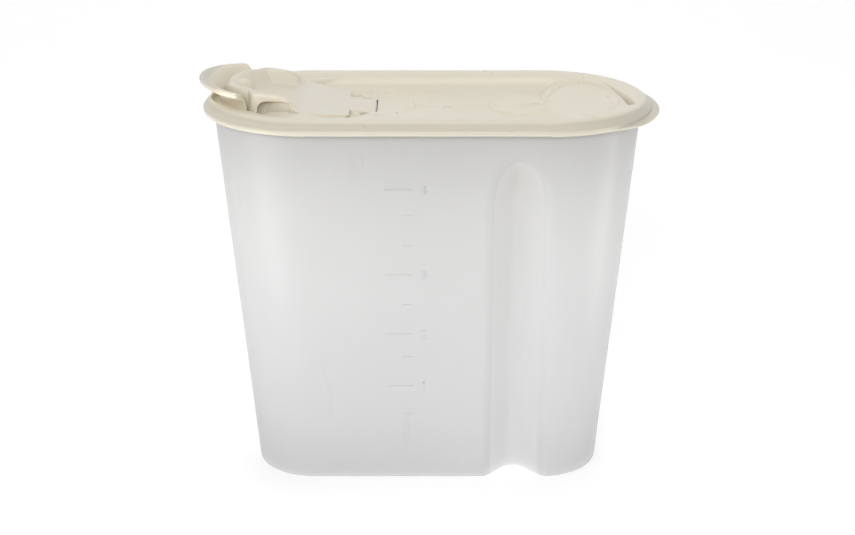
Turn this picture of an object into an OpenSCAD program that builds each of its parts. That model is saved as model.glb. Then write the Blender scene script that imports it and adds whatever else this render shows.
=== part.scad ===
// Storage tub for dry food with a press-on lid and a hinged pour flap.
// Three mouldings: the tub, the lid with its fixed pour spout, and the flap.
// Millimetres. +Z is up, +X points to the lift tab, -X to the spout.
// The origin is the centre of the base, on the surface it stands on.

/* [Tub] */
// Half length of the straight sides; every plan outline shares it
straight_half = 74; // [66:1:90]
// Height of the tub up to the bottom edge of the lid skirt
tub_h = 241.1; // [200:0.1:280]
// Outer radius of the round ends at the base
base_r = 38.5; // [37:0.5:44]
// Thickness of the side wall
wall_t = 1.6; // [1.4:0.1:2]
// Thickness of the floor
floor_t = 2; // [1.6:0.1:3]

/* [Grip] */
// Distance of the grip groove from the middle of the tub
grip_x = 56.5; // [50:0.5:58]
// Radius of the grip groove across the fingers
grip_r = 24; // [21:0.5:26]
// Depth of the grip groove below the wall
grip_depth = 16.4; // [12:0.2:17]
// Height of the centre of the groove's round top end
grip_top = 209; // [150:1:212]

/* [Lid] */
// Radius of the pour hole and of its straight-sided half
hole_r = 24; // [22.5:0.1:24.5]
// How far the lift tab stands out past the skirt
tab_out = 5.5; // [3:0.5:8]

/* [Flap] */
// Radius of the flap's two hinge pins
pin_r = 1.4; // [1:0.1:1.5]
// Radial play between a pin and its socket
pin_play = 0.06; // [0.04:0.01:0.1]

/* [Hidden] */
eps = 0.01;
top_r = 60.3;              // outer radius of the tub under its ledge
zt = tub_h;                // lid heights are given above this level
lid_c = "#e9e4cf";
sx = -(straight_half + 24);    // axis of the round spout
hx = -(straight_half - 29.5);  // hinge axis, X
hz = zt - 0.1;                 // hinge axis, Z
taper = atan((top_r - base_r) / tub_h);

function rw(z) = base_r + (top_r - base_r) * z / tub_h;
function up(p, z) = [for (q = p) [q[0], q[1] + z]];
// an arc of points round c from angle a to angle b
function arc(c, r, a, b, n) = [for (i = [0:n]) let (t = a + (b - a) * i / n) [c[0] + r * cos(t), c[1] + r * sin(t)]];

// a half profile revolved round both ends and run along the straight sides
module oblong(p) {
    for (s = [-1, 1])
        translate([s * straight_half, 0, 0]) rotate([0, 0, s > 0 ? -90 : 90])
            rotate_extrude(angle = 180, $fn = 144) polygon(p);
    rotate([90, 0, 90]) linear_extrude(height = 2 * straight_half, center = true)
        union() { polygon(p); mirror([1, 0]) polygon(p); }
}

// ---- tub ----
tub_skin = concat(
    [[0, 0], [base_r - 3.2, 0]],
    arc([base_r - 3.2, 3.4], 3.4, -78, -6, 5),
    [[rw(6), 6], [rw(zt + 0.7), zt + 0.7]]);
tub_profile = concat(
    tub_skin,
    [[63.7, zt + 0.7], [63.7, zt + 4.3], [62.5, zt + 4.3], [62.5, zt + 2.2],
     [rw(zt + 2.2) - wall_t, zt + 2.2], [rw(8) - wall_t, 8]],
    arc([base_r - wall_t - 3.6, floor_t + 3.8], 3.8, -8, -84, 5),
    [[base_r - wall_t - 4.2, floor_t], [0, floor_t]]);

// the space a hand takes at one side, with extra all round it
module grip_space(extra) {
    off = grip_r - grip_depth;
    for (s = [-1, 1])
        translate([grip_x, s * (base_r + off / cos(taper)), 0]) rotate([-s * taper, 0, 0]) {
            translate([0, 0, -30]) cylinder(h = grip_top + 30, r = grip_r + extra, $fn = 96);
            translate([0, 0, grip_top]) sphere(r = grip_r + extra, $fn = 96);
        }
}

module container() {
    color("#d9dadd", 0.75) difference() {
        union() {
            oblong(tub_profile);
            intersection() {
                oblong(concat(tub_skin, [[0, zt + 0.7]]));
                grip_space(wall_t);
            }
        }
        grip_space(0);
    }
}

// ---- lid ----
// upper skin: panel, hollow curve up to the inner crest, rounded shoulder, lip
lid_outer = up(concat(
    [[0, 1]], arc([33, 23.5], 22.5, -90, -50.2, 8),
    [[48.3, 7.1], [50, 7.7], [53, 8.4], [58, 8.9], [61, 8.5], [63.5, 7.2], [65.2, 5.5],
     [66.1, 3.9], [66.9, 3.1], [67, 2.2], [66.6, 0.8], [65.9, 0], [0, 0]]), zt);
lid_under = up(concat(
    [[0, -0.5]], arc([33, 23.5], 24, -90, -50.2, 8),
    [[53, 6.9], [58, 7.4], [60, 7.2], [61.5, 6.9], [62.1, 4.4], [64.4, 4.4],
     [64.4, 0.7], [64, 0.4], [64.4, 0], [64.6, -3], [0, -3]]), zt);
plug_ring = up([[56.4, -4.5], [57.3, -4.5], [57.8, -3.4], [57.8, 8], [56.4, 8]], zt);
spout_wall = up([[30.3, -0.1], [31.8, -0.1], [31.8, 5], [32.2, 7.5], [33.4, 9.8], [35.4, 11.8], [38, 13.3],
    [41.5, 14.9], [44.2, 16.2], [45, 17.2], [45, 22.2], [44.2, 22.2], [43.6, 20.4], [41.5, 18.8], [38.6, 17.1],
    [35, 14.8], [32.6, 12.6], [31, 10], [30.3, 7]], zt);

module at_spout() { translate([sx, 0, 0]) children(); }
// half-round to the left, straight to the right as far as xr
module dee(r, xr, z0, z1) {
    translate([0, 0, z0]) {
        at_spout() cylinder(h = z1 - z0, r = r, $fn = 120);
        translate([sx, -r, 0]) cube([xr - sx, 2 * r, z1 - z0]);
    }
}
module dee_ring(r0, r1, xr, t, z0, z1) {
    difference() {
        intersection() {
            dee(r1, xr, z0, z1);
            translate([sx - 60, -60, z0 - 1]) cube([xr - sx + 60, 120, z1 - z0 + 2]);
        }
        difference() {
            dee(r0, xr, z0 - 1, z1 + 1);
            translate([xr - t, -60, z0 - 2]) cube([60, 120, z1 - z0 + 4]);
        }
    }
}
hole_xr = sx + 13.8;   // straight edge of the pour hole

// level shelf that closes in on the flap beside the spout, and the hollow under it
shelf_top = [[-103, 37.2], [-97.3, 36.4], [-92.8, 33.9], [-87.1, 34.5], [-82.2, 36.9], [-69.9, 42.1], [-59.1, 46.4],
    [-57.6, 49.2], [-103, 49.2]];
shelf_hollow = [[-101.4, 38.8], [-96.9, 38], [-92.6, 35.5], [-87.4, 36.1], [-82.7, 38.5], [-70.5, 43.7], [-63.3, 46.7],
    [-63.8, 47.8], [-101.4, 47.8]];
module shelf_plan(p) {
    k = straight_half - 74;
    for (s = [0, 1]) mirror([0, s]) polygon([for (q = p) [q[0] - k, q[1]]]);
}

module lid_shell() {
    difference() {
        union() {
            lid_skin();
            translate([0, 0, zt + 0.3]) linear_extrude(height = 6.7) shelf_plan(shelf_top);
        }
        translate([0, 0, zt - 1]) linear_extrude(height = 6.5) shelf_plan(shelf_hollow);
    }
}

module lid_skin() {
    difference() {
        union() {
            difference() {
                oblong(lid_outer);
                difference() {
                    oblong(lid_under);
                    // floor and wall of the pocket round the spout
                    at_spout() translate([0, 0, zt + 2.6]) cylinder(h = 10, r = 38.3, $fn = 144);
                    at_spout() translate([0, 0, zt - 0.4]) cylinder(h = 10, r = 31, $fn = 120);
                    // floor and wall of the channel at the lift-tab end
                    intersection() {
                        translate([straight_half, 0, zt + 0.4]) cylinder(h = 10, r = 56.4, $fn = 180);
                        translate([straight_half + 8.6, -70, zt]) cube([70, 140, 12]);
                    }
                }
            }
            oblong(plug_ring);
        }
        at_spout() translate([0, 0, zt + 4]) cylinder(h = 12, r = 37.1, $fn = 144);
        at_spout() translate([0, 0, zt + 1]) cylinder(h = 12, r = 30, $fn = 120);
        intersection() {
            translate([straight_half, 0, zt + 1.9]) cylinder(h = 12, r = 55.2, $fn = 180);
            translate([straight_half + 10, -70, zt]) cube([70, 140, 14]);
        }
        // open under the raised pad
        intersection() {
            translate([straight_half, 0, zt - 2]) cylinder(h = 5, r = 50.6, $fn = 180);
            translate([straight_half + 13, -70, zt - 2]) cube([70, 140, 5]);
        }
    }
}

// raised pad at the lift-tab end, with its ramp down to the panel
module pad() {
    x0 = straight_half - 8;
    intersection() {
        translate([straight_half, 0, zt]) cylinder(h = 10, r = 52, $fn = 180);
        union() {
            translate([straight_half + 9.9, -60, zt]) cube([60, 120, 10]);
            translate([x0 - 1, -46.5, zt]) cube([20, 93, 10]);
        }
        translate([0, 60, zt]) rotate([90, 0, 0]) linear_extrude(height = 120)
            polygon([[x0, 0.9], [x0 + 4, 1.3], [x0 + 8, 2.6], [x0 + 12, 4.4], [x0 + 16, 5.2], [x0 + 62, 5.2],
                     [x0 + 62, 3.7], [x0 + 16.5, 3.7], [x0 + 12.6, 2.9], [x0 + 8.8, 1.2], [x0 + 6, 0.5], [x0, 0.5]]);
    }
    intersection() {
        translate([straight_half, 0, zt + 0.4]) difference() {
            cylinder(h = 4.8, r = 52, $fn = 180);
            translate([0, 0, -1]) cylinder(h = 8, r = 50.6, $fn = 180);
        }
        translate([straight_half + 9.9, -60, zt]) cube([60, 120, 10]);
    }
}

// socket for a hinge pin, open at the top so that the pin snaps in
module hinge_block(s) {
    difference() {
        translate([hx, s * 15.5, hz]) rotate([s > 0 ? -90 : 90, 0, 0]) difference() {
            intersection() {
                translate([-2.8, -2.8, 0]) cube([5.6, 5.6, 5.8]);
                translate([0, 0, -1]) cylinder(h = 8, r = 3.55, $fn = 96);
            }
            translate([0, 0, -1]) cylinder(h = 5.9, r = pin_r + pin_play, $fn = 64);
        }
        translate([hx - 5, s > 0 ? 14 : -23, zt + 0.6]) cube([10, 9, 6]);
    }
}

module lid() {
    color(lid_c) difference() {
        union() {
            lid_shell();
            // pour spout
            difference() {
                at_spout() rotate([0, 0, 115]) rotate_extrude(angle = 130, $fn = 120) polygon(spout_wall);
                // its lip rises towards the tip
                translate([sx - 52, -60, zt + 22.6]) rotate([0, 5.88, 0]) cube([90, 120, 20]);
            }
            // seat round the pour hole
            difference() {
                intersection() {
                    dee(hole_r + 1.2, hole_xr + 1.2, zt + 0.5, zt + 3);
                    translate([sx - 60, -60, zt]) cube([hole_xr - sx + 61.2, 120, 10]);
                }
                translate([hole_xr - 3, -60, zt + 2]) cube([20, 120, 5]);
            }
            pad();
            // shallow discs moulded in the panel
            translate([-(straight_half - 45.4), 0, zt + 0.5]) cylinder(h = 0.8, r = 21.4, $fn = 96);
            translate([straight_half - 14, 0, zt + 0.5]) cylinder(h = 0.9, r = 21.4, $fn = 96);
            // lift tab
            difference() {
                translate([straight_half + 67 + tab_out - 30, 0, zt]) cylinder(h = 1.8, r = 30, $fn = 96);
                translate([straight_half, 0, zt - 1]) cylinder(h = 5, r = 65.4, $fn = 180);
            }
        }
        // pour hole
        intersection() {
            dee(hole_r, hole_xr, zt - 3, zt + 6);
            translate([sx - 60, -60, zt - 4]) cube([hole_xr - sx + 60, 120, 12]);
        }
        // window for the tongue of the flap
        translate([hx - 6.5, -15.5, zt - 3]) cube([19.5, 31, 8]);
        // clear of the hinge blocks
        for (s = [-1, 1])
            translate([hx - 2.8, s > 0 ? 15 : -21.3, zt - 4]) cube([5.6, 6.3, 8]);
        // three-cornered openings beside the tongue
        for (s = [0, 1]) mirror([0, s, 0])
            translate([hx, 0, zt - 3]) linear_extrude(height = 8) polygon([[2.4, 14.8], [2.4, 20.4], [8.8, 14.8]]);
    }
    color(lid_c) for (s = [-1, 1]) hinge_block(s);
}

// ---- flap ----
ridge = up([[28.6, 1.4], [28.6, 15.4], [28.1, 17.2], [27, 18.4], [25.4, 18.8], [23, 18.3], [21, 17.3], [19, 15.7],
    [17, 13.6], [15.5, 11.8], [14, 10], [12, 9.1], [12, 7.6], [14.6, 8.2], [16.6, 10.6], [18.4, 12.9], [20.6, 15.1],
    [23, 16.5], [25.2, 17], [26.4, 16], [27, 14.4], [27, 1.4]], zt);
// the same with thicker tops, where the horseshoe runs down to the wings
ridge_low = up([[28.6, 1.4], [28.6, 15.4], [28.1, 17.2], [27, 18.4], [25.4, 18.8], [23, 18.3], [21, 17.3], [19, 15.7],
    [17, 13.6], [15.5, 11.8], [14, 10], [12, 9.1], [12, 7.6], [14.6, 8.2], [16.6, 10.4], [18.4, 11.9], [20.4, 12.9],
    [23, 13.4], [25.2, 13.4], [26.4, 12.8], [27, 12], [27, 1.4]], zt);
ridge_solid = up([[28.6, 1.4], [28.6, 15.4], [28.1, 17.2], [27, 18.4], [25.4, 18.8], [23, 18.3], [21, 17.3], [19, 15.7],
    [17, 13.6], [15.5, 11.8], [14, 10], [12, 9.1], [12, 6], [22, 5.5], [22, 2.7], [26.4, 2.7], [26.4, 1.4]], zt);
// side view of the crest of the horseshoe, from the tip to the wings
crest = [[-32, 0], [-32, 17.4], [-27, 17.6], [-22, 18.7], [-13, 18.9], [-6, 18], [2, 17.3], [8, 16.2], [10.6, 15.3],
    [13, 14.2], [14.5, 12.6], [15.8, 10.4], [18, 8.6], [18, 0]];
// side view of the cheeks that carry it out over the finger arches
cheek = [[-7.4, 5], [-7.4, 14.6], [-6.6, 16], [-5, 16.8], [2, 16.4], [7, 15.2], [10, 14.2], [12.4, 12.8], [14.6, 10.6],
    [15.4, 8.6], [15.4, 5.4], [12, 5]];
wing_x0 = sx + 14;          // left edge of the wings
wing_x1 = hx - 3.7;         // their end before the hinge blocks
ridge_end = sx + 12;
slope = atan(5.9 / (wing_x1 - sx));

// half outline of the wings, counted from the hinge axis, and the same drawn in by 1.5
wing_out = [[-39.5, -eps], [-39.5, 34.2], [-37.7, 35.4], [-33.3, 37.8], [-30.7, 38.2], [-26.5, 37.1], [-8.9, 30], [-5.1, 28.2], [-3.7, 26.2], [-3.7, -eps]];
wing_in = [[-38, -eps], [-38, 33.4], [-36.92, 34.12], [-32.81, 36.36], [-30.78, 36.67], [-26.97, 35.67], [-9.5, 28.63], [-6.1, 27.01], [-5.2, 25.73], [-5.2, -eps]];
module wings(p) { translate([hx, 0]) { polygon(p); mirror([0, 1]) polygon(p); } }
// everything below the sloped top face, lowered by d
module under_slope(d) {
    translate([0, 60, zt]) rotate([90, 0, 0]) linear_extrude(height = 120)
        polygon([[sx - 20, -5], [wing_x1 + 0.5, -5], [wing_x1 + 0.5, 3 - d], [sx - 20, 8.9 + 20 * tan(slope) - d]]);
}

module ridge_run(p, x0, x1) {
    for (s = [0, 1]) mirror([0, s, 0])
        translate([x0, 0, 0]) rotate([90, 0, 90]) linear_extrude(height = x1 - x0) polygon(p);
}

module spout_flap() {
    color("#e6e0cb") difference() {
        union() {
            // raised horseshoe, higher at the tip
            intersection() {
                union() {
                    at_spout() rotate([0, 0, 90]) rotate_extrude(angle = 180, $fn = 120) polygon(ridge);
                    ridge_run(ridge_low, sx, ridge_end);
                    ridge_run(ridge_solid, ridge_end - eps, ridge_end + 5);
                }
                translate([sx, 60, zt]) rotate([90, 0, 0]) linear_extrude(height = 120) polygon(crest);
            }
            for (s = [0, 1]) mirror([0, s, 0])
                translate([sx, 33.3, zt]) rotate([90, 0, 0]) linear_extrude(height = 5.6) polygon(cheek);
            // sloped floor of the dish and the wings
            difference() {
                intersection() {
                    union() {
                        translate([0, 0, zt - 1]) linear_extrude(height = 14) wings(wing_out);
                        at_spout() translate([0, 0, zt - 1]) cylinder(h = 14, r = 15.5, $fn = 96);
                        translate([sx, -15.5, zt - 1]) cube([wing_x0 - sx + 2, 31, 14]);
                    }
                    under_slope(0);
                }
                under_slope(1.7);
            }
            // edge wall of the wings
            difference() {
                intersection() {
                    translate([0, 0, zt + 2.5]) linear_extrude(height = 14) difference() { wings(wing_out); wings(wing_in); }
                    under_slope(0.2);
                }
                translate([wing_x0 - 1, -26.2, zt]) cube([2.6, 52.4, 4.5]);
            }
            // plug that closes the pour hole
            difference() {
                union() {
                    intersection() {
                        dee_ring(hole_r - 2, hole_r - 0.6, hole_xr - 0.6, 1.4, zt - 0.9, zt + 16);
                        translate([sx - 60, -60, zt - 2]) cube([60 + ridge_end - sx, 120, 30]);
                    }
                    intersection() {
                        dee_ring(hole_r - 2, hole_r - 0.6, hole_xr - 0.6, 1.4, zt - 0.9, zt + 16);
                        under_slope(0.4);
                    }
                }
                // keep the end wall of the plug under the dish floor
                difference() {
                    translate([sx, -20.6, zt - 2]) cube([30, 41.2, 30]);
                    under_slope(0.4);
                }
            }
            // tongue and hinge barrel
            translate([wing_x1 - 2, -15, zt + 0.9]) cube([hx + 12 - wing_x1 + 2, 30, 1.6]);
            translate([hx, 15, hz]) rotate([90, 0, 0]) cylinder(h = 30, r = 2.4, $fn = 64);
            // hinge pins
            translate([hx, 19.9, hz]) rotate([90, 0, 0]) cylinder(h = 39.8, r = pin_r, $fn = 64);
        }
        // finger arches in both sides
        for (s = [0, 1]) mirror([0, s, 0])
            translate([sx - 3, 40, zt]) rotate([90, 0, 0]) linear_extrude(height = 40 - 25.2)
                polygon(concat([[0, 0], [14.4, 0]], arc([11.4, 10.4], 3, 0, 90, 4), arc([3, 10.4], 3, 90, 180, 4)));
    }
}

container();
lid();
spout_flap();
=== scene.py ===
import math
import bpy
import bmesh
import numpy as np
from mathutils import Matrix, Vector


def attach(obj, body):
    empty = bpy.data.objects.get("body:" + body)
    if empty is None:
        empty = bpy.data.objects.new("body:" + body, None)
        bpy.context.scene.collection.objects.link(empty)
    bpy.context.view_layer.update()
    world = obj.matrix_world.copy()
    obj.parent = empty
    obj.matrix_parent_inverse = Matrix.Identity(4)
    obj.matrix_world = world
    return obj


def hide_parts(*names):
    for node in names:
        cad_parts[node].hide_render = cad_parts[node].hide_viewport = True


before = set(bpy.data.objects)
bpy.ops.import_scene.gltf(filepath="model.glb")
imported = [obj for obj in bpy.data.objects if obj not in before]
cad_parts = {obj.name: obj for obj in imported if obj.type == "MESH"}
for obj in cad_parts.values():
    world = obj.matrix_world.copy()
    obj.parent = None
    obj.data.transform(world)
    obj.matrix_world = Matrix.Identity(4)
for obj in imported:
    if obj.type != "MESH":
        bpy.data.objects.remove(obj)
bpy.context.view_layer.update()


# All shapes below are worked out in millimetres. Lid and flap heights count from ZT, the skirt's bottom edge.
ZT = 241.1
STRAIGHT = 74.0
SX = -98.0          # axis of the spout
HX = -44.5          # hinge axis
F = np.float32


# ---------------------------------------------------------------- small tools
def step(t):
    t = np.clip(t, 0, 1)
    return t * t * (3 - 2 * t)


def smin(a, b, k):
    h = np.maximum(k - np.abs(a - b), 0) / k
    return np.minimum(a, b) - h * h * k * 0.25


def smax(a, b, k):
    return -smin(-a, -b, k)


def arc(c, r, a, b, n):
    t = np.radians(np.linspace(a, b, n + 1))
    return [(c[0] + r * math.cos(v), c[1] + r * math.sin(v)) for v in t]


def sd_poly(x, y, pts):
    """signed distance to a closed outline, negative inside"""
    V = np.array(pts, F)
    d = np.full(x.shape, 1e9, F)
    s = np.ones(x.shape, F)
    for i in range(len(V)):
        a, b = V[i], V[i - 1]
        e = b - a
        wx, wy = x - a[0], y - a[1]
        t = np.clip((wx * e[0] + wy * e[1]) / max(float(e @ e), 1e-9), 0, 1)
        d = np.minimum(d, (wx - e[0] * t) ** 2 + (wy - e[1] * t) ** 2)
        c1, c2, c3 = y >= a[1], y < b[1], e[0] * wy > e[1] * wx
        s = np.where((c1 & c2 & c3) | (~c1 & ~c2 & ~c3), -s, s)
    return s * np.sqrt(d)


class Table:
    """a function of two variables, sampled and read back by bilinear interpolation"""

    def __init__(self, x0, x1, y0, y1, h, make):
        self.x0, self.y0, self.h = x0, y0, h
        nx, ny = int(round((x1 - x0) / h)) + 1, int(round((y1 - y0) / h)) + 1
        self.x = (x0 + h * np.arange(nx)).astype(F)
        self.y = (y0 + h * np.arange(ny)).astype(F)
        self.v = make(*np.meshgrid(self.x, self.y, indexing="ij")).astype(F)

    def __call__(self, x, y):
        nx, ny = self.v.shape
        u = np.clip((x - self.x0) / self.h, 0, nx - 1.001)
        w = np.clip((y - self.y0) / self.h, 0, ny - 1.001)
        i, j = u.astype(np.int32), w.astype(np.int32)
        fu, fw = (u - i).astype(F), (w - j).astype(F)
        f = self.v.ravel()
        k = i * ny + j
        return (f[k] * (1 - fu) + f[k + ny] * fu) * (1 - fw) + (f[k + 1] * (1 - fu) + f[k + ny + 1] * fu) * fw


class Surface:
    """a height field, the offset field a given thickness below it, and the slopes of both"""

    def __init__(self, x0, x1, y0, y1, h, thick, make):
        top = Table(x0, x1, y0, y1, h, make)
        H = top.v
        n = int(math.ceil(thick / h))
        low = np.full(H.shape, 1e9, F)
        P = np.pad(H, n, mode="edge")
        for i in range(-n, n + 1):
            for j in range(-n, n + 1):
                q = thick * thick - (i * i + j * j) * h * h
                if q > 0:
                    low = np.minimum(low, P[n + i:n + i + H.shape[0], n + j:n + j + H.shape[1]] - math.sqrt(q))
        self.top, self.x, self.y = top, top.x, top.y
        self.low = Table.__new__(Table)
        self.low.__dict__.update(top.__dict__)
        self.low.v = low
        self.gt, self.gl = self._steep(H, h, top), self._steep(low, h, top)

    @staticmethod
    def _steep(v, h, like):
        gx, gy = np.gradient(v, h)
        t = Table.__new__(Table)
        t.__dict__.update(like.__dict__)
        t.v = (1 / np.sqrt(1 + gx * gx + gy * gy)).astype(F)
        return t

    def above(self, x, y, z):
        return (z - self.top(x, y)) * self.gt(x, y)

    def below(self, x, y, z):
        return (z - self.low(x, y)) * self.gl(x, y)


def mesh_of(fn, lo, hi, h, faces):
    """surface nets on a grid, moved on to the true surface, thinned to a number of triangles"""
    n = [int(math.ceil((hi[i] - lo[i]) / h)) + 1 for i in range(3)]
    ax = [(lo[i] + h * np.arange(n[i])).astype(F) for i in range(3)]
    V = np.empty(n, F)
    for i0 in range(0, n[0], 32):
        i1 = min(i0 + 32, n[0])
        X, Y, Z = np.meshgrid(ax[0][i0:i1], ax[1], ax[2], indexing="ij")
        V[i0:i1] = fn(X, Y, Z)
    V[np.abs(V) < 1e-5] = 1e-5
    ins = V < 0
    c = [ins[a:n[0] - 1 + a, b:n[1] - 1 + b, d:n[2] - 1 + d] for a in (0, 1) for b in (0, 1) for d in (0, 1)]
    any_, all_ = c[0].copy(), c[0].copy()
    for q in c[1:]:
        any_ |= q
        all_ &= q
    I, J, K = np.nonzero(any_ & ~all_)
    idx = np.full((n[0] - 1, n[1] - 1, n[2] - 1), -1, np.int32)
    idx[I, J, K] = np.arange(len(I), dtype=np.int32)
    corner = [(a, b, d) for a in (0, 1) for b in (0, 1) for d in (0, 1)]
    vals = [V[I + a, J + b, K + d] for a, b, d in corner]
    acc = np.zeros((len(I), 3), F)
    cnt = np.zeros(len(I), F)
    for p in range(8):
        for q in range(p + 1, 8):
            if sum(abs(corner[p][m] - corner[q][m]) for m in range(3)) != 1:
                continue
            va, vb = vals[p], vals[q]
            m = (va < 0) != (vb < 0)
            t = np.where(m, va / np.where(m, va - vb, 1), 0)
            for k in range(3):
                acc[:, k] += np.where(m, corner[p][k] + (corner[q][k] - corner[p][k]) * t, 0)
            cnt += m
    pos = acc / cnt[:, None] + np.stack([I, J, K], 1)
    pos = pos * h + np.array(lo, F)
    quads = []
    for axis in range(3):
        sl0 = [slice(1, -1)] * 3
        sl1 = [slice(1, -1)] * 3
        sl0[axis], sl1[axis] = slice(0, -1), slice(1, None)
        a, b = ins[tuple(sl0)], ins[tuple(sl1)]
        E = np.nonzero(a != b)
        up_ = a[E]
        g = [e + (0 if m == axis else 1) for m, e in enumerate(E)]
        u, w = (axis + 1) % 3, (axis + 2) % 3

        def cell(du, dw):
            q = [v.copy() for v in g]
            q[u] = q[u] - du
            q[w] = q[w] - dw
            return idx[q[0], q[1], q[2]]

        q4 = np.stack([cell(1, 1), cell(0, 1), cell(0, 0), cell(1, 0)], 1)
        q4[~up_] = q4[~up_][:, ::-1]
        quads.append(q4)
    quads = np.concatenate(quads)

    def grad(p, e=0.12):
        g = np.empty_like(p)
        for k in range(3):
            a, b = p.copy(), p.copy()
            a[:, k] += e
            b[:, k] -= e
            g[:, k] = (fn(a[:, 0], a[:, 1], a[:, 2]) - fn(b[:, 0], b[:, 1], b[:, 2])) / (2 * e)
        return g

    for _ in range(2):
        g = grad(pos)
        v = fn(pos[:, 0], pos[:, 1], pos[:, 2])
        move = -(v / np.maximum((g * g).sum(1), 0.25))[:, None] * g
        L = np.sqrt((move * move).sum(1))
        pos = pos + move * np.minimum(1, 0.35 * h / np.maximum(L, 1e-6))[:, None]
    me = bpy.data.meshes.new("net")
    me.vertices.add(len(pos))
    me.vertices.foreach_set("co", (pos / 1000).astype(F).ravel())
    me.loops.add(len(quads) * 4)
    me.polygons.add(len(quads))
    me.loops.foreach_set("vertex_index", quads.astype(np.int32).ravel())
    me.polygons.foreach_set("loop_start", np.arange(0, len(quads) * 4, 4, dtype=np.int32))
    me.polygons.foreach_set("loop_total", np.full(len(quads), 4, np.int32))
    me.update()
    ob = bpy.data.objects.new("net", me)
    bpy.context.scene.collection.objects.link(ob)
    d = ob.modifiers.new("thin", "DECIMATE")
    d.ratio = min(1, faces / (len(quads) * 2))
    dg = bpy.context.evaluated_depsgraph_get()
    out = bpy.data.meshes.new_from_object(ob.evaluated_get(dg))
    bpy.data.objects.remove(ob)
    bpy.data.meshes.remove(me)
    co = np.empty(len(out.vertices) * 3, F)
    out.vertices.foreach_get("co", co)
    p = co.reshape(-1, 3) * 1000
    g = grad(p, 0.25)
    g /= np.maximum(np.sqrt((g * g).sum(1)), 1e-6)[:, None]
    return out, g


def place(me, name, body, node, mat, lift=ZT, normals=None):
    co = np.empty(len(me.vertices) * 3, F)
    me.vertices.foreach_get("co", co)
    co = co.reshape(-1, 3)
    co[:, 2] += lift / 1000
    me.vertices.foreach_set("co", co.ravel())
    me.name = name
    me.polygons.foreach_set("use_smooth", np.ones(len(me.polygons), bool))
    me.materials.clear()
    me.materials.append(mat)
    me.update()
    if normals is not None:
        me.normals_split_custom_set_from_vertices([tuple(v) for v in normals])
    ob = bpy.data.objects.new(name, me)
    bpy.context.scene.collection.objects.link(ob)
    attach(ob, body)
    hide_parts(node)
    return ob


# ---------------------------------------------------------------- materials
def new_mat(name):
    m = bpy.data.materials.new(name)
    m.use_nodes = True
    nt = m.node_tree
    for n in list(nt.nodes):
        nt.nodes.remove(n)
    return m, nt


def nd(nt, kind, **kw):
    n = nt.nodes.new(kind)
    for k, v in kw.items():
        if k in n.inputs:
            n.inputs[k].default_value = v
        else:
            setattr(n, k, v)
    return n


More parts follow.
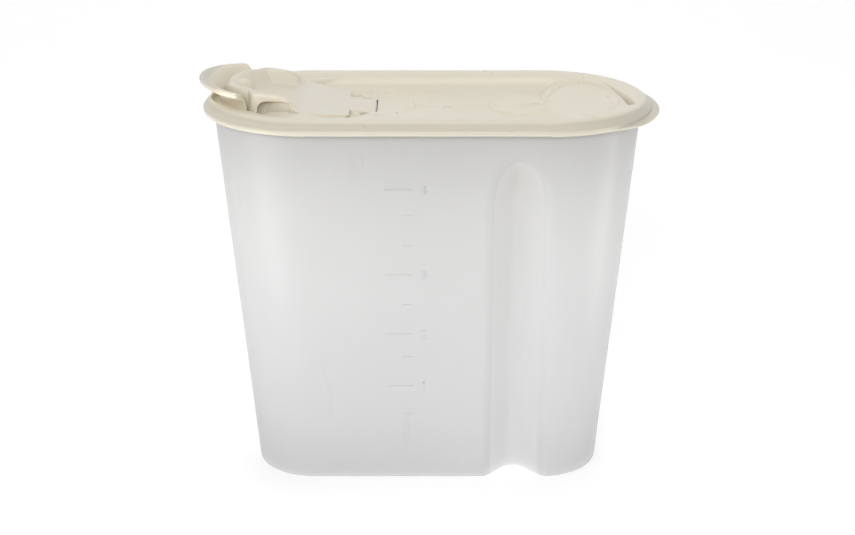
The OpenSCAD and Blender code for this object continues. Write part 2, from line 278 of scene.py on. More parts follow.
def plastic(name, light, dark, rough, bump, sss, radius, scale, through):
    """moulded polyethylene: a faint mottling of colour, fine satin grain, a little light carried inside, with painted
    shade in the hinge slots and on the skirt
    """
    m, nt = new_mat(name)
    L = nt.links.new
    tc = nd(nt, "ShaderNodeTexCoord")
    big = nd(nt, "ShaderNodeTexNoise", Scale=9.0, Detail=3.0, Roughness=0.5)
    L(tc.outputs["Object"], big.inputs["Vector"])
    ramp = nd(nt, "ShaderNodeValToRGB")
    ramp.color_ramp.elements[0].position, ramp.color_ramp.elements[1].position = 0.3, 0.7
    ramp.color_ramp.elements[0].color, ramp.color_ramp.elements[1].color = (*dark, 1), (*light, 1)
    L(big.outputs["Fac"], ramp.inputs["Fac"])
    fine = nd(nt, "ShaderNodeTexNoise", Scale=1400.0, Detail=2.0, Roughness=0.6)
    L(tc.outputs["Object"], fine.inputs["Vector"])
    mid = nd(nt, "ShaderNodeTexNoise", Scale=60.0, Detail=4.0, Roughness=0.55)
    L(tc.outputs["Object"], mid.inputs["Vector"])
    rr = nd(nt, "ShaderNodeMapRange")
    rr.inputs["From Min"].default_value, rr.inputs["From Max"].default_value = 0.3, 0.7
    rr.inputs["To Min"].default_value, rr.inputs["To Max"].default_value = rough - 0.04, rough + 0.05
    L(mid.outputs["Fac"], rr.inputs["Value"])
    b1 = nd(nt, "ShaderNodeBump", Strength=bump, Distance=0.00012)
    L(fine.outputs["Fac"], b1.inputs["Height"])
    b2 = nd(nt, "ShaderNodeBump", Strength=bump * 0.5, Distance=0.0004)
    L(mid.outputs["Fac"], b2.inputs["Height"])
    L(b1.outputs["Normal"], b2.inputs["Normal"])
    # painted shade in the hinge sockets and the slot round the tongue, where a deep narrow gap would stay dark
    sep = nd(nt, "ShaderNodeSeparateXYZ")
    L(tc.outputs["Object"], sep.inputs["Vector"])

    def math_(op, a, b=None):
        n = nd(nt, "ShaderNodeMath", operation=op)
        for k, v in ((0, a), (1, b)):
            if v is None:
                continue
            if isinstance(v, (int, float)):
                n.inputs[k].default_value = v
            else:
                L(v, n.inputs[k])
        return n.outputs["Value"]

    def within(v, mid_, half):
        return math_("LESS_THAN", math_("ABSOLUTE", math_("SUBTRACT", v, mid_)), half)

    ay = math_("ABSOLUTE", sep.outputs["Y"])
    side = math_("MULTIPLY", within(sep.outputs["X"], -0.0366, 0.0064), within(ay, 0.0190, 0.0036))
    end = math_("MULTIPLY", within(sep.outputs["X"], -0.0315, 0.00105), within(ay, 0.0, 0.0166))
    side = math_("MULTIPLY", side, math_("LESS_THAN", sep.outputs["Z"], ZT * 0.001 + 0.0004))
    end = math_("MULTIPLY", end, math_("LESS_THAN", sep.outputs["Z"], ZT * 0.001 - 0.0004))
    slot_shade = math_("MULTIPLY", math_("MAXIMUM", side, end), 0.9)
    slot_shade_mix = nd(nt, "ShaderNodeMix", data_type="RGBA")
    L(slot_shade, slot_shade_mix.inputs["Factor"])
    L(ramp.outputs["Color"], slot_shade_mix.inputs["A"])
    # near-black brown of the painted slot shade
    slot_shade_mix.inputs["B"].default_value = (0.12, 0.09, 0.055, 1)
    # painted shade: on the lid the skirt band is darkened to a deeper tone than the panel, for the lower light it
    # catches facing forward
    ax = math_("MAXIMUM", math_("SUBTRACT", math_("ABSOLUTE", sep.outputs["X"]), STRAIGHT * 0.001), 0.0)
    rs_ = math_("SQRT", math_("ADD", math_("POWER", ax, 2.0), math_("POWER", sep.outputs["Y"], 2.0)))
    out_ = nd(nt, "ShaderNodeMapRange", interpolation_type="SMOOTHSTEP")
    out_.inputs["From Min"].default_value, out_.inputs["From Max"].default_value = 0.0615, 0.0640
    L(rs_, out_.inputs["Value"])
    skirt = nd(nt, "ShaderNodeMix", data_type="RGBA", blend_type="MULTIPLY")
    L(math_("MULTIPLY", out_.outputs["Result"], 1.0 if light[0] > 0.842 else 0.0), skirt.inputs["Factor"])
    L(slot_shade_mix.outputs["Result"], skirt.inputs["A"])
    skirt.inputs["B"].default_value = (0.80, 0.80, 0.81, 1)
    p = nd(nt, "ShaderNodeBsdfPrincipled")
    p.inputs["IOR"].default_value = 1.5
    p.inputs["Specular IOR Level"].default_value = 0.5
    p.inputs["Subsurface Weight"].default_value = sss
    p.inputs["Subsurface Radius"].default_value = radius
    p.inputs["Subsurface Scale"].default_value = scale
    L(skirt.outputs["Result"], p.inputs["Base Color"])
    L(rr.outputs["Result"], p.inputs["Roughness"])
    L(b2.outputs["Normal"], p.inputs["Normal"])
    tr = nd(nt, "ShaderNodeBsdfTranslucent")
    warm = nd(nt, "ShaderNodeMix", data_type="RGBA", blend_type="MULTIPLY")
    warm.inputs["Factor"].default_value = 1.0
    warm.inputs["B"].default_value = through
    L(skirt.outputs["Result"], warm.inputs["A"])
    L(warm.outputs["Result"], tr.inputs["Color"])
    L(b2.outputs["Normal"], tr.inputs["Normal"])
    mx = nd(nt, "ShaderNodeMixShader", Fac=0.06)
    L(p.outputs["BSDF"], mx.inputs[1])
    L(tr.outputs["BSDF"], mx.inputs[2])
    o = nd(nt, "ShaderNodeOutputMaterial")
    L(mx.outputs["Shader"], o.inputs["Surface"])
    return m


def milky(name):
    """natural polypropylene: satin skin, light spread through the wall, a little seen straight through, with painted
    shade towards rim and base and painted light in the grips
    """
    m, nt = new_mat(name)
    L = nt.links.new
    tc = nd(nt, "ShaderNodeTexCoord")
    big = nd(nt, "ShaderNodeTexNoise", Scale=7.0, Detail=3.0, Roughness=0.5)
    L(tc.outputs["Object"], big.inputs["Vector"])
    ramp = nd(nt, "ShaderNodeValToRGB")
    ramp.color_ramp.elements[0].position, ramp.color_ramp.elements[1].position = 0.3, 0.7
    ramp.color_ramp.elements[0].color = (0.885, 0.885, 0.885, 1)
    ramp.color_ramp.elements[1].color = (0.91, 0.91, 0.91, 1)
    L(big.outputs["Fac"], ramp.inputs["Fac"])
    # painted shade: the wall is darkened towards the rim, under the lid, and towards the base
    sep = nd(nt, "ShaderNodeSeparateXYZ")
    L(tc.outputs["Object"], sep.inputs["Vector"])
    up = nd(nt, "ShaderNodeMapRange")
    up.inputs["From Min"].default_value, up.inputs["From Max"].default_value = 0.0, 0.2411
    L(sep.outputs["Z"], up.inputs["Value"])
    painted_height_shade = nd(nt, "ShaderNodeValToRGB")
    painted_height_shade.color_ramp.interpolation = "B_SPLINE"
    for pos_, v in ((0.03, 0.93), (0.18, 0.98), (0.45, 0.99), (0.7, 1.0), (0.86, 0.96)):
        el = painted_height_shade.color_ramp.elements.new(pos_)
        el.color = (v, v, v, 1)
    painted_height_shade.color_ramp.elements[-1].color = (0.83, 0.83, 0.83, 1)
    painted_height_shade.color_ramp.elements[0].color = (0.92, 0.92, 0.92, 1)
    L(up.outputs["Result"], painted_height_shade.inputs["Fac"])
    tint = nd(nt, "ShaderNodeMix", data_type="RGBA", blend_type="MULTIPLY")
    tint.inputs["Factor"].default_value = 1.0
    L(ramp.outputs["Color"], tint.inputs["A"])
    L(painted_height_shade.outputs["Color"], tint.inputs["B"])
    # painted light: in the hand grips the wall colour is lightened and passes more light, to brighten the recess
    def math_(op, a, b=None):
        n = nd(nt, "ShaderNodeMath", operation=op)
        for k, v in ((0, a), (1, b)):
            if v is None:
                continue
            if isinstance(v, (int, float)):
                n.inputs[k].default_value = v
            else:
                L(v, n.inputs[k])
        return n.outputs["Value"]

    sunk = math_("SUBTRACT", math_("ADD", math_("MULTIPLY", sep.outputs["Z"], 0.0904), 0.0385), math_("ABSOLUTE", sep.outputs["Y"]))
    band = math_("SUBTRACT", 0.0225, math_("ABSOLUTE", math_("SUBTRACT", sep.outputs["X"], 0.0565)))
    deep = math_("MAXIMUM", math_("MULTIPLY", math_("SUBTRACT", sunk, 0.0025), 160.0), 0.0)
    grip_ = math_("MINIMUM", math_("MULTIPLY", deep, math_("MAXIMUM", math_("MULTIPLY", band, 300.0), 0.0)), 1.0)
    grip_light_mask = nd(nt, "ShaderNodeMapRange", interpolation_type="SMOOTHSTEP")
    L(grip_, grip_light_mask.inputs["Value"])
    thin = nd(nt, "ShaderNodeMix", data_type="RGBA")
    L(math_("MULTIPLY", grip_light_mask.outputs["Result"], 0.85), thin.inputs["Factor"])
    L(tint.outputs["Result"], thin.inputs["A"])
    thin.inputs["B"].default_value = (0.985, 0.985, 0.985, 1)
    flow = nd(nt, "ShaderNodeMapping")
    flow.inputs["Scale"].default_value = (1.0, 1.0, 0.18)
    L(tc.outputs["Object"], flow.inputs["Vector"])
    streak = nd(nt, "ShaderNodeTexNoise", Scale=45.0, Detail=3.0, Roughness=0.5)
    L(flow.outputs["Vector"], streak.inputs["Vector"])
    rr = nd(nt, "ShaderNodeMapRange")
    rr.inputs["From Min"].default_value, rr.inputs["From Max"].default_value = 0.3, 0.7
    rr.inputs["To Min"].default_value, rr.inputs["To Max"].default_value = 0.27, 0.34
    L(streak.outputs["Fac"], rr.inputs["Value"])
    fine = nd(nt, "ShaderNodeTexNoise", Scale=900.0, Detail=2.0, Roughness=0.6)
    L(tc.outputs["Object"], fine.inputs["Vector"])
    b1 = nd(nt, "ShaderNodeBump", Strength=0.05, Distance=0.00012)
    L(fine.outputs["Fac"], b1.inputs["Height"])
    b2 = nd(nt, "ShaderNodeBump", Strength=0.05, Distance=0.001)
    L(streak.outputs["Fac"], b2.inputs["Height"])
    L(b1.outputs["Normal"], b2.inputs["Normal"])
    p = nd(nt, "ShaderNodeBsdfPrincipled")
    p.inputs["IOR"].default_value = 1.5
    p.inputs["Specular IOR Level"].default_value = 0.5
    L(thin.outputs["Result"], p.inputs["Base Color"])
    L(rr.outputs["Result"], p.inputs["Roughness"])
    L(b2.outputs["Normal"], p.inputs["Normal"])
    tr = nd(nt, "ShaderNodeBsdfTranslucent")
    L(thin.outputs["Result"], tr.inputs["Color"])
    L(b2.outputs["Normal"], tr.inputs["Normal"])
    mx = nd(nt, "ShaderNodeMixShader")
    # painted light: more translucency in the grips
    L(math_("ADD", math_("MULTIPLY", grip_light_mask.outputs["Result"], 0.14), 0.56), mx.inputs[0])
    L(p.outputs["BSDF"], mx.inputs[1])
    L(tr.outputs["BSDF"], mx.inputs[2])
    cl = nd(nt, "ShaderNodeBsdfTransparent")
    cl.inputs["Color"].default_value = (0.97, 0.97, 0.975, 1)
    mx2 = nd(nt, "ShaderNodeMixShader", Fac=0.22)
    L(mx.outputs["Shader"], mx2.inputs[1])
    L(cl.outputs["BSDF"], mx2.inputs[2])
    o = nd(nt, "ShaderNodeOutputMaterial")
    L(mx2.outputs["Shader"], o.inputs["Surface"])
    return m


IVORY = plastic("ivory_lid", (0.845, 0.79, 0.66), (0.83, 0.775, 0.645), 0.31, 0.06, 0.4, (1.0, 0.85, 0.55), 0.002, (1.0, 0.97, 0.86, 1))
IVORY_FLAP = plastic("ivory_flap", (0.84, 0.78, 0.66), (0.825, 0.765, 0.645), 0.32, 0.06, 0.4, (1.0, 0.85, 0.55), 0.002, (1.0, 0.95, 0.84, 1))
MILK = milky("natural_tub")


# ---------------------------------------------------------------- the tub
def wall_r(z):
    return 38.5 + (60.3 - 38.5) * z / ZT


GX, GW, GD = 56.5, 22.6, 16.9       # grip: centre, half width, depth
G_IN, G_OUT = 193.0, 233.0          # where its round top end begins and ends


def grip(x, z):
    """depth of the hand grip below the wall at a point of the long side"""
    u = (x - GX) / GW
    v = np.clip((z - G_IN) / (G_OUT - G_IN), 0, None)
    r = np.sqrt(u * u + v * v)
    r = smin(r, np.full_like(r, 1.0), 0.12)
    r = np.clip((r - 0.06) / 0.91, 0, 1)
    return GD * 0.5 * (1 + np.cos(np.pi * r))


def tub_mesh():
    # outline: direction and spine point at each step round
    xs = np.concatenate([np.linspace(-STRAIGHT, 28, 44), np.linspace(29.2, STRAIGHT, 40)])
    fine_end = np.radians(np.concatenate([np.linspace(-90, -50, 22), np.linspace(-46, 46, 22), np.linspace(50, 90, 22)]))
    per = [(x, 0.0, -1.0) for x in xs]
    per += [(STRAIGHT, math.cos(a), math.sin(a)) for a in fine_end[1:-1]]
    per += [(x, 0.0, 1.0) for x in xs[::-1]]
    per += [(-STRAIGHT, -math.cos(a), -math.sin(a)) for a in np.radians(np.linspace(-90, 90, 60))[1:-1]]
    per = np.array(per)
    sxp, nx, ny = per[:, 0], per[:, 1], per[:, 2]
    # half profile, from the middle of the base out, up, over the ledge and down inside
    pro = [(0, 0.9), (12, 0.9), (24, 0.9), (30.2, 0.9), (31.2, 0.6), (32.0, 0.12), (33.0, 0.0)]
    pro += [(34.8, 0.0)] + arc((36.5, 2.1), 2.1, -90, -6, 9)
    pro += [(wall_r(z), z) for z in np.concatenate([[3.2, 4.8, 6.5, 9], np.linspace(12, 186, 50), np.linspace(188.5, 236, 22)])]
    pro += [(wall_r(238.5), 238.5), (wall_r(240.4), 240.4), (60.5, 241.3), (60.9, 241.7), (61.6, 241.85), (63.3, 241.85),
            (63.6, 242.0), (63.7, 242.4), (63.7, 244.9), (63.6, 245.25), (63.3, 245.4), (62.9, 245.4), (62.6, 245.25),
            (62.5, 244.9), (62.5, 243.9), (62.3, 243.5), (61.8, 243.3), (59.6, 243.3), (59.1, 243.2), (58.85, 242.8)]
    n_out = len(pro)
    pro += [(wall_r(z) - 1.6, z) for z in np.concatenate([[240.5, 238.5], np.linspace(236, 188.5, 22), np.linspace(186, 12, 50)])]
    pro += [(wall_r(z) - 1.6, z) for z in (9.5,)]
    pro += arc((33.0, 6.4), 4.4, -6, -90, 8)
    pro += [(28.5, 2.0), (22, 2.0), (11, 2.0), (0, 2.0)]
    pro = np.array(pro)
    R, Z = pro[:, 0], pro[:, 1]
    S, RR = np.meshgrid(np.arange(len(per)), R, indexing="ij")
    ZZ = np.broadcast_to(Z, RR.shape)
    X = sxp[S] + nx[S] * RR
    at_x = sxp[S] + nx[S] * np.minimum(RR, 60)
    dep = grip(at_x, np.maximum(ZZ, 0)) * (sxp[S] > 0) * np.clip(np.abs(ny[S]) * 1.0, 0, 1)
    base = wall_r(np.maximum(ZZ, 0.0))
    flat = RR < 33.05
    low = (ZZ < 5.0)
    # inside the base and floor the rings close in step with the wall; elsewhere the wall moves in as a whole
    scale = np.where(flat & low, RR / 33.05, 1.0)
    RN = RR - dep * scale
    X = sxp[S] + nx[S] * RN
    Y = ny[S] * RN
    m, k = RR.shape
    co = np.stack([X, Y, ZZ], -1).reshape(-1, 3) / 1000
    i = np.arange(m)
    faces = []
    for j in range(k - 1):
        a = i * k + j
        b = ((i + 1) % m) * k + j
        faces.append(np.stack([a, b, b + 1, a + 1], 1))
    faces = np.concatenate(faces)
    me = bpy.data.meshes.new("tub")
    me.from_pydata([tuple(v) for v in co], [], [tuple(int(q) for q in f) for f in faces])
    bm = bmesh.new()
    bm.from_mesh(me)
    bmesh.ops.remove_doubles(bm, verts=bm.verts, dist=2e-6)
    bmesh.ops.dissolve_degenerate(bm, dist=1e-6, edges=bm.edges)
    bmesh.ops.recalc_face_normals(bm, faces=bm.faces)
    bm.to_mesh(me)
    bm.free()
    return me


def bar(bm, pts, w, x0, z0, proud=0.09):
    """a thin raised stroke along a line of points on the front wall, rounded at the ends"""
    P = [np.array(p, float) + (x0, z0) for p in pts]
    ring = []
    left, right = [], []
    for i, p in enumerate(P):
        a = P[max(i - 1, 0)]
        b = P[min(i + 1, len(P) - 1)]
        t = (b - a) / max(np.linalg.norm(b - a), 1e-9)
        nrm = np.array([-t[1], t[0]]) * w / 2
        left.append(p + nrm)
        right.append(p - nrm)
    t0 = (P[1] - P[0]) / np.linalg.norm(P[1] - P[0]) * w / 2
    t1 = (P[-1] - P[-2]) / np.linalg.norm(P[-1] - P[-2]) * w / 2
    ring = left + [P[-1] + t1] + right[::-1] + [P[0] - t0]

    def at(q, out, k=1.0):
        c = sum(ring) / len(ring)
        q = q if k == 1.0 else q
        x, z = q
        r = wall_r(z) + out - float(grip(np.array([x]), np.array([z]))[0])
        return bm.verts.new((x / 1000, -r / 1000, z / 1000))

    lo = [at(q, -0.5) for q in ring]
    hi = [at(q, proud) for q in ring]
    n = len(ring)
    for i in range(n):
        bm.faces.new((lo[i], lo[(i + 1) % n], hi[(i + 1) % n], hi[i]))
    m = len(P)
    for i in range(m - 1):
        for r_, flip in ((hi, False), (lo, True)):
            f = [r_[i], r_[i + 1], r_[2 * m + 1 - (i + 1) - 1 + 0], r_[2 * m + 1 - i - 1 + 0]]
            f = [r_[i], r_[i + 1], r_[2 * m - i - 1], r_[2 * m - i]]
            bm.faces.new(f[::-1] if flip else f)
    for r_, flip in ((hi, False), (lo, True)):
        f = [r_[m - 1], r_[m], r_[m + 1]]
        bm.faces.new(f[::-1] if flip else f)
        f = [r_[2 * m], r_[2 * m + 1], r_[0]]
        bm.faces.new(f[::-1] if flip else f)


def curve(c, rx, rz, a, b, n=9):
    t = np.radians(np.linspace(a, b, n))
    return [(c[0] + rx * math.cos(v), c[1] + rz * math.sin(v)) for v in t]


DIGIT = {
    "1": [[(-0.9, 2.0), (0.5, 3.0), (0.5, -3.0)]],
    "2": [curve((0, 1.3), 1.8, 1.7, 170, -40) + [(-1.8, -3.0), (1.9, -3.0)]],
    "3": [curve((0, 1.5), 1.7, 1.5, 150, -90), curve((0, -1.45), 1.9, 1.55, 90, -150)],
    "4": [[(1.0, -3.0), (1.0, 3.0), (-1.9, -1.2), (2.1, -1.2)]],
}

tub = tub_mesh()
tick_mesh = bmesh.new()
# filling scale: strokes (from x, to x, height) and plain numbers beside four of them
for x0, x1, z in ((-26.5, -9.5, 204.9), (-15.8, -9.5, 188.0), (-15.8, -9.5, 167.4), (-26.5, -9.5, 147.5), (-15.8, -9.5, 126.8),
                  (-26.5, -9.5, 106.2), (-15.8, -9.5, 89.8), (-26.5, -9.5, 69.0), (-15.8, -9.5, 48.0)):
    bar(tick_mesh, [(x0, 0), ((x0 + x1) / 2, 0), (x1, 0)], 0.7, 0, z)
for d, z in (("4", 204.9), ("3", 147.5), ("2", 106.2), ("1", 69.0)):
    for line in DIGIT[d]:
        bar(tick_mesh, line, 0.7, -2.5, z)
bmesh.ops.recalc_face_normals(tick_mesh, faces=tick_mesh.faces)
ticks = bpy.data.meshes.new("scale")
tick_mesh.to_mesh(ticks)
tick_mesh.free()
both = bmesh.new()
both.from_mesh(tub)
both.from_mesh(ticks)
both.to_mesh(tub)
both.free()
bpy.data.meshes.remove(ticks)
tub_ob = place(tub, "tub_shell", "container", "container", MILK, lift=0)


# ---------------------------------------------------------------- the lid
rim = [(0, 1.0), (28, 1.0)] + arc((33, 23.5), 22.5, -90, -51.5, 16) + [
    (48.0, 6.86), (48.6, 7.2), (49.4, 7.48), (50.6, 7.8), (52.3, 8.2), (54.2, 8.58), (56.2, 8.82), (58, 8.9), (59.6, 8.86),
    (61, 8.7), (63.3, 8.0), (72, 6.0)]
RIM_R, RIM_Z = [p[0] for p in rim], [p[1] for p in rim]
shelf = [(-104, 47.5), (-101.6, 44.0), (-98.9, 38.6), (-96.6, 35.6), (-93.4, 34.2), (-90, 34.0), (-87.1, 34.5), (-82.2, 36.8),
         (-76, 39.7), (-69.9, 42.1), (-64.5, 44.6), (-59.1, 46.7), (-52, 47.6), (-44.6, 48.0), (-44.6, 50.5), (-104, 50.5)]
pad_edge = [(93, 52), (88.4, 48.2), (84.4, 42), (80.6, 33), (77.6, 22), (76.0, 13), (76.4, 4), (77.4, -6), (77.2, -18), (77.4, -26),
            (79, -34), (83, -42), (90, -50), (104, -56), (140, -56), (140, 56), (96, 56)]
slot_line = [(113.6, 33), (115.0, 29.5), (116.6, 26), (118.4, 20.6), (120.0, 14.8), (121.6, 8), (122.9, 0), (123.8, -9), (124.4, -17), (124.8, -25)]
foot_line = [(52, -4), (57.6, -1.5), (63.3, -0.6), (69, 0.6), (73, 3.0), (76.2, 7.6), (78.6, 13.6), (80.6, 20), (83.0, 26), (87, 31.5), (91, 35)]


def sd_line(x, y, pts):
    d = np.full(x.shape, 1e9, F)
    for (ax, ay), (bx, by) in zip(pts, pts[1:]):
        ex, ey = bx - ax, by - ay
        wx, wy = x - ax, y - ay
        t = np.clip((wx * ex + wy * ey) / (ex * ex + ey * ey), 0, 1)
        d = np.minimum(d, (wx - ex * t) ** 2 + (wy - ey * t) ** 2)
    return np.sqrt(d)


def lid_height(x, y):
    ay = np.abs(y)
    rs = np.sqrt(np.maximum(np.abs(x) - STRAIGHT, 0) ** 2 + y * y)
    rp = np.hypot(x - SX, y)
    H = np.interp(rs, RIM_R, RIM_Z).astype(F)
    # discs moulded in the panel
    for cx, up_ in ((-28.6, 0.42), (60.0, 0.8)):
        H = H + up_ * step((21.6 - np.hypot(x - cx, y)) / 1.1) * (H < 2.2)
    # raised pad at the tab end, with its ramp and the soft line at its foot
    e = sd_poly(x, y, pad_edge)
    ramp = step(1 - (e + 1.0) / 9.0)
    pad = 0.9 + 4.3 * ramp
    H = smax(H, np.where(x > 50, pad, 0.0), 0.9) - 0.0
    line = sd_line(x, y, foot_line)
    fade = step((x - 50) / 8) * step((93 - x) / 8)
    H = H + 1.15 * np.exp(-(line / 1.15) ** 2) * fade
    H = H + 0.9 * np.exp(-((e + 0.6) / 1.05) ** 2) * step((-14 - y) / 8) * step((x - 88) / 8) * step((122 - x) / 6)
    # crescent channel between pad and rim
    near = sd_line(x, y, slot_line)
    rise = np.where(sd_poly(x, y, slot_line + [(140, -25), (140, 33)]) < 0, 2.0, 6.0)
    ch = np.maximum(2.4 + 0.15 * y, 0.4) + near * rise + 4.0 * np.maximum(-30 - y, 0)
    H = np.where(x > 80, smin(H, ch, 0.7), H)
    # well round the spout, then the recess the flap lies in
    H = smin(H, 4.2 + 4.5 * np.maximum(rp - 36.9, 0), 0.9)
    H = smin(H, 1.0 + 5.0 * np.maximum(rp - 29.7, 0), 0.4)
    # level shelf that closes in on the flap
    t = np.maximum(sd_poly(x, ay, shelf) + 1.3, 0)
    drop = np.where(t < 1.25, 1.3 - np.sqrt(np.maximum(1.69 - t * t, 0)), 0.943 + (t - 1.25) * 4.5)
    H = smax(H, 6.95 - drop, 0.35)
    return H


def lid_parts():
    top = Surface(-146, 148, -69, 69, 0.3, 1.5, lid_height)
    outer = [(0, -8), (0, 30), (60, 30), (60, 8.8), (61.3, 8.42), (62.4, 7.95), (63.3, 7.3), (64.1, 6.55), (64.8, 5.75), (65.3, 5.1),
             (65.7, 4.55), (66.2, 4.0), (66.6, 3.55), (66.9, 3.0), (67.0, 2.3), (66.9, 1.5), (66.6, 0.8), (66.1, 0.25), (65.4, 0), (61, 0), (61, -8)]
    inner = [(0, -8), (0, 30), (58.5, 30), (58.5, 7.3), (60.4, 6.95), (61.3, 6.5), (61.9, 5.4), (62.1, 4.5), (64.2, 4.4), (64.4, 4.1),
             (64.4, 0.8), (64.05, 0.45), (64.4, 0.05), (64.6, -8)]
    ring = [(56.4, -4.4), (57.2, -4.5), (57.5, -4.2), (57.8, -3.2), (57.8, 8), (56.4, 8)]
    spout = [(30.0, -0.2), (31.7, -0.2), (31.7, 5.0), (31.9, 7.0), (32.6, 8.8), (33.8, 10.2), (35.6, 11.3), (38.0, 12.2), (41.0, 12.9),
             (43.4, 13.3), (44.3, 13.75), (44.85, 14.6), (44.95, 15.6), (44.8, 16.5), (44.4, 17.15), (43.9, 17.3), (42.6, 17.1), (40.5, 16.5),
             (38, 15.6), (35.4, 14.4), (33.2, 13.0), (31.6, 11.4), (30.6, 9.4), (30.1, 6.5)]
    to = Table(0, 80, -9, 31, 0.12, lambda r, z: sd_poly(r, z, outer))
    ti = Table(0, 80, -9, 31, 0.12, lambda r, z: sd_poly(r, z, inner))
    tr = Table(50, 64, -9, 12, 0.12, lambda r, z: sd_poly(r, z, ring))
    ts = Table(24, 54, -4, 24, 0.1, lambda r, z: sd_poly(r, z, spout))
    c65, s65 = math.cos(math.radians(65)), math.sin(math.radians(65))

    def fn(x, y, z):
        ay = np.abs(y)
        rs = np.sqrt(np.maximum(np.abs(x) - STRAIGHT, 0) ** 2 + y * y)
        rp = np.hypot(x - SX, y)
        rr = np.hypot(x - STRAIGHT, y)
        out = smax(top.above(x, y, z), to(rs, z), 0.25)
        inn = smax(top.below(x, y, z), ti(rs, z), 0.3)
        d = smax(out, -inn, 0.3)
        d = smin(d, np.maximum(tr(rs, z), out + 0.5), 0.4)
        # fixed pour spout
        wedge = (x - SX) * s65 + ay * c65
        k = 0.9 + 4.0 * np.clip((rp - 37) / 8, 0, 1)
        flare = step((rp - 31) / 9)
        cosf = np.clip((SX - x) / np.maximum(rp, 1), 0, 1)
        sp = ts(rp + 3.6 * (1 - cosf) * flare, z - 0.103 * (SX - x) * flare)
        sp = smax(np.where((rp > 24.2) & (x < SX + 2), sp, 5.0), wedge, k)
        d = smin(d, sp, 0.9)
        # seat round the pour hole, and the hole
        dd = np.maximum(np.where(x < SX, rp, ay) - 24.0, x + 84.2)
        zt_ = np.where(x > -87.2, 2.0, 3.0)
        d = smin(d, smax(dd - 1.2, np.maximum(z - zt_, 0.4 - z), 0.3), 0.4)
        d = smax(d, -dd, 0.3)
        # window for the tongue, and clearance for the hinge sockets
        w = np.maximum(np.abs(x + 41.25) - 9.75, ay - 15.5)
        w = np.maximum(w, np.minimum(x + 32.35, -2.4 - z))
        tri = np.maximum(np.maximum(HX + 2.9 - x, 15.95 - ay), ((x - HX - 9.6) * 6.2 + (ay - 15.9) * 6.7) / 9.1)
        under = np.minimum(np.maximum(np.maximum(np.abs(x + 31.5) - 0.85, ay - 17.0), np.abs(z + 1.4) - 1.9),
                           np.maximum(np.maximum(np.abs(x - HX - 6.6) - 4.0, np.abs(ay - 19.2) - 3.8), np.abs(z + 1.9) - 2.4))
        d = smin(d, under, 0.3)
        w = np.minimum(w, np.maximum(tri, -3.6 - z))
        hk = np.maximum(np.abs(x - HX) - 3.4, np.abs(ay - 18.4) - 3.5)
        d = smax(d, -np.minimum(w, hk), 0.35)
        q = np.maximum(np.maximum(np.abs(x - HX) - 2.8, np.abs(z + 0.1) - 2.8), np.abs(ay - 18.4) - 2.9)
        q = smax(q, np.hypot(x - HX, z + 0.1) - 3.5, 0.3)
        web = np.maximum(np.maximum(np.abs(x - HX) - 3.6, np.abs(z - 0.1) - 0.7), np.abs(ay - 20.8) - 1.4)
        q = smin(q, web, 0.3)
        bore = np.maximum(np.hypot(x - HX, z + 0.1) - 1.5, ay - 20.4)
        bore = np.minimum(bore, np.maximum(0.6 - z, np.maximum(np.abs(x - HX) - 4, ay - 20.9)))
        d = smin(d, smax(q, -bore, 0.2), 0.25)
        # lift tab
        th = np.degrees(np.abs(np.arctan2(y, x - STRAIGHT)))
        far = 66.4 + 5.5 * step((60 - th) / 26)
        tab = smax(rr - far, np.maximum(np.abs(z - 0.85) - 0.85, 65.0 - rr), 0.9)
        tab = np.where(x > STRAIGHT, tab, 5.0)
        d = smin(d, tab, 0.8)
        return d.astype(F)

    return mesh_of(fn, (-144.4, -68.2, -5.4), (147.4, 68.2, 23.0), 0.62, 190000)


# ---------------------------------------------------------------- the flap
out_half = arc((SX, 0), 28.3, 180, 116, 22) + [(-109.4, 27.4), (-108.7, 29.0), (-107.6, 30.9), (-105.9, 32.3), (-103.4, 33.1),
                                              (-100, 33.3), (-92, 33.3), (-87.5, 33.6), (-84.6, 34.4), (-82.2, 35.5), (-79.6, 36.9),
                                              (-77.4, 37.8), (-75.4, 38.1), (-73.2, 37.8), (-71, 37.1), (-65, 34.7), (-59, 32.3), (-53.4, 30.0),
                                              (-50.6, 28.6), (-49.0, 27.2), (-48.4, 25.6), (-48.3, 23.6), (-48.3, 0)]
flap_outline = out_half + [(p[0], -p[1]) for p in out_half[::-1][1:-1]]
with_tongue = out_half[:-1] + [(-48.3, 15.0), (-30.0, 15.0), (-30.0, -3), (-126.3, -3)]
crest_x = [-127, -125, -122.8, -120, -115, -111, -107.8, -105.4, -102.9, -100, -97.8, -95.2, -92.6, -90, -87.5, -85, -83.4, -82.1,
           -80.4, -78.5, -76, -72, -66, -30]
crest_z = [15.8, 17.0, 18.1, 18.7, 18.9, 18.9, 18.4, 18.1, 17.9, 17.6, 17.4, 17.1, 16.7, 16.1, 15.2, 13.9, 12.3, 10.2,
           8.6, 7.6, 6.9, 6.2, 5.1, 0.0]


def floor_z(x):
    return 3.0 + 5.9 * (-48.2 - x) / 49.8


def flap_height(x, y):
    ay = np.abs(y)
    e = -sd_poly(x, ay, with_tongue)
    Fz = floor_z(x)
    C = np.maximum(np.interp(x, crest_x, crest_z), Fz)
    # the flat floor of the dish: half-round to the left, straight sides to the right
    s_in = np.where(x < -83, np.hypot((x + 83) * 0.96, y), ay) - 24.6
    s_in = np.maximum(s_in, 0)
    rr = 2.3 * np.clip((C - Fz) / 5.0, 0.3, 1)
    span = s_in / np.maximum(s_in + np.maximum(e - rr, 0), 0.3)
    k = 0.5 - 0.5 * np.cos(np.pi * np.clip(span, 0, 1))
    H = Fz + (C - Fz) * k
    t = np.clip(1 - e / rr, 0, 0.995)
    return H - rr * (1 - np.sqrt(1 - t * t))


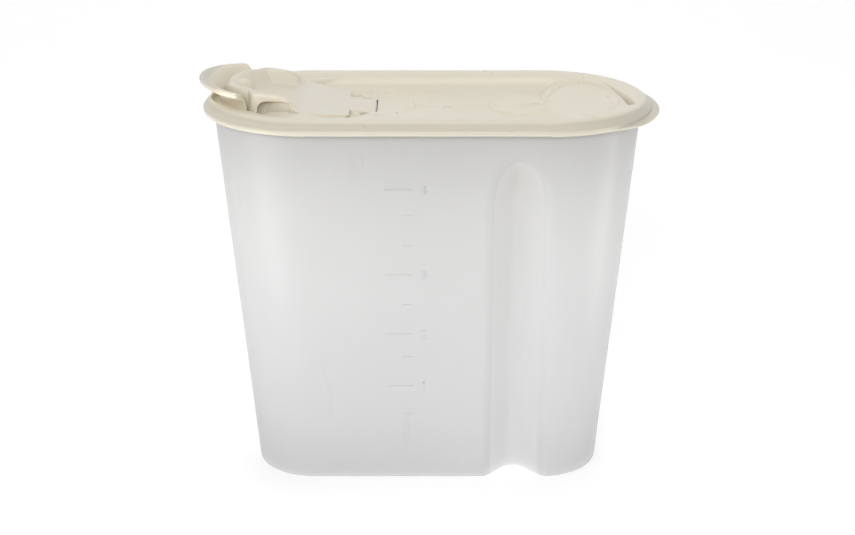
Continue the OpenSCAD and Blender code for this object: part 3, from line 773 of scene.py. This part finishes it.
def flap_parts():
    top = Surface(-130, -28, -40, 40, 0.25, 1.6, flap_height)
    outl = Table(-134, -26, -42, 42, 0.2, lambda x, y: sd_poly(x, y, flap_outline))
    scoop = [(-104.9, -3), (-104.7, 5.5), (-104.1, 9.0), (-102.8, 11.2), (-100.9, 12.3), (-98, 12.7), (-95, 12.6), (-91, 12.3), (-86.2, 12.3),
             (-84.1, 12.3), (-84.1, -3)]
    sc2 = Table(-112, -76, -8, 24, 0.15, lambda x, z: sd_poly(x, z, scoop))

    def fn(x, y, z):
        ay = np.abs(y)
        rp = np.hypot(x - SX, y)
        so = outl(x, y)
        tongue = np.maximum(np.abs(x + 42.2) - 9.7, ay - 15.0)
        out = smax(top.above(x, y, z), smin(smax(so, 1.45 + 0.9 * step((ay - 33) / 3) - z, 0.4), smax(tongue, 0.0 - z, 0.4), 0.3), 0.35)
        inn = smax(top.below(x, y, z), so + 1.6, 0.6)
        back = 25.0 + 8.4 * step((x + 103) / 19)
        sc = smax(sc2(x, z), back - ay, 1.6)
        cav = smax(inn, -(sc - 1.5), 0.5)
        d = smax(out, -cav, 0.3)
        d = smax(d, -sc, 0.7)
        # plug that closes the pour hole
        dd = np.maximum(np.where(x < SX, rp, ay) - 23.4, x + 84.85)
        lid_ = top.low(x, y)
        pl = np.maximum(np.maximum(dd, -1.4 - dd), np.maximum(-0.9 - z, z - lid_ - 0.4))
        d = smin(d, pl, 0.4)
        # barrel and pins
        d = smin(d, smax(np.hypot(x - HX, z + 0.1) - 2.3, ay - 15.0, 0.3), 0.3)
        d = smin(d, smax(np.hypot(x - HX, z + 0.1) - 1.4, ay - 19.9, 0.3), 0.2)
        return d.astype(F)

    return mesh_of(fn, (-128.2, -39.4, -3.6), (-31.2, 39.4, 20.6), 0.5, 150000)


me, nrm = lid_parts()
lid_ob = place(me, "lid_shell", "lid", "lid", IVORY, normals=nrm)
me, nrm = flap_parts()
flap_ob = place(me, "flap_shell", "flap", "spout_flap", IVORY_FLAP, normals=nrm)


# ---------------------------------------------------------------- stage, lights, camera
def stage_plane():
    bm = bmesh.new()
    n = 24
    prof = [(-3.0, 0.0), (1.6, 0.0)] + [(1.6 + 0.9 * math.sin(t), 0.9 - 0.9 * math.cos(t)) for t in np.linspace(0.1, math.pi / 2, 14)] + [(2.5, 3.6)]
    rows = []
    for x in (-4.5, 4.5):
        rows.append([bm.verts.new((x, y, z)) for y, z in prof])
    for i in range(len(prof) - 1):
        bm.faces.new((rows[0][i], rows[1][i], rows[1][i + 1], rows[0][i + 1]))
    me = bpy.data.meshes.new("sweep")
    bm.to_mesh(me)
    bm.free()
    for p in me.polygons:
        p.use_smooth = True
    ob = bpy.data.objects.new("sweep", me)
    bpy.context.scene.collection.objects.link(ob)
    m, nt = new_mat("pale_floor")
    tc = nd(nt, "ShaderNodeTexCoord")
    nz = nd(nt, "ShaderNodeTexNoise", Scale=1.4, Detail=2.0)
    nt.links.new(tc.outputs["Object"], nz.inputs["Vector"])
    r = nd(nt, "ShaderNodeValToRGB")
    r.color_ramp.elements[0].color, r.color_ramp.elements[1].color = (0.93, 0.93, 0.93, 1), (0.95, 0.95, 0.95, 1)
    nt.links.new(nz.outputs["Fac"], r.inputs["Fac"])
    p = nd(nt, "ShaderNodeBsdfPrincipled", Roughness=0.9)
    p.inputs["Specular IOR Level"].default_value = 0.1
    p.inputs["Emission Color"].default_value = (1, 1, 1, 1)
    p.inputs["Emission Strength"].default_value = 0.31
    nt.links.new(r.outputs["Color"], p.inputs["Base Color"])
    o = nd(nt, "ShaderNodeOutputMaterial")
    nt.links.new(p.outputs["BSDF"], o.inputs["Surface"])
    me.materials.append(m)


stage_plane()


def area(name, where, look, sx, sy, power, color=(1, 1, 1)):
    li = bpy.data.lights.new(name, "AREA")
    li.shape = "RECTANGLE"
    li.size, li.size_y = sx, sy
    li.energy = power
    li.color = color
    ob = bpy.data.objects.new(name, li)
    ob.location = where
    ob.rotation_euler = (Vector(look) - Vector(where)).to_track_quat("-Z", "Y").to_euler()
    bpy.context.scene.collection.objects.link(ob)
    return ob


area("key_left", (-1.9, -1.3, 0.65), (0, 0, 0.16), 0.9, 1.1, 7)
area("key_right", (1.9, -1.2, 0.95), (0, 0, 0.16), 0.9, 1.2, 4.5)
area("front", (-0.3, -2.4, 1.35), (0, 0, 0.2), 1.5, 0.6, 27)
area("top", (0.1, 0.1, 2.1), (0, 0, 0.2), 1.1, 0.6, 7)
area("back", (0, 2.2, 1.6), (0, 0, 0.15), 3.0, 1.6, 4)
# low reflectors beside the object give the satin wall its two soft streaks
for nm, p0, p1, w_, e_ in (("low_left", (-0.63, -0.20), (-0.24, -0.24), 0.13, 0.9), ("low_right", (0.65, 0.01), (0.34, -0.09), 0.13, 0.7)):
    mx_, my_ = (p0[0] + p1[0]) / 2, (p0[1] + p1[1]) / 2
    ob = area(nm, (mx_, my_, 0.004), (mx_, my_, 1.0), math.hypot(p1[0] - p0[0], p1[1] - p0[1]), w_, e_)
    ob.rotation_euler = (math.pi, 0, math.atan2(p1[1] - p0[1], p1[0] - p0[0]))
    ob.visible_camera = False

world = bpy.data.worlds.new("studio")
world.use_nodes = True
bg = world.node_tree.nodes["Background"]
bg.inputs["Color"].default_value = (1.0, 1.0, 1.0, 1)
bg.inputs["Strength"].default_value = 0.32
bpy.context.scene.world = world
bpy.context.scene.view_settings.view_transform = "Standard"

cam = bpy.data.cameras.new("camera")
cam.sensor_width = 36
cam.lens = 1790.55 * 36 / 855
cam.clip_start, cam.clip_end = 0.05, 30
co = bpy.data.objects.new("camera", cam)
bpy.context.scene.collection.objects.link(co)
D, E = 1.16827, math.radians(20.57)
co.location = (0, -D * math.cos(E), 0.13312 + D * math.sin(E))
co.rotation_euler = (math.radians(90 - 20.57), 0, 0)
bpy.context.scene.camera = co
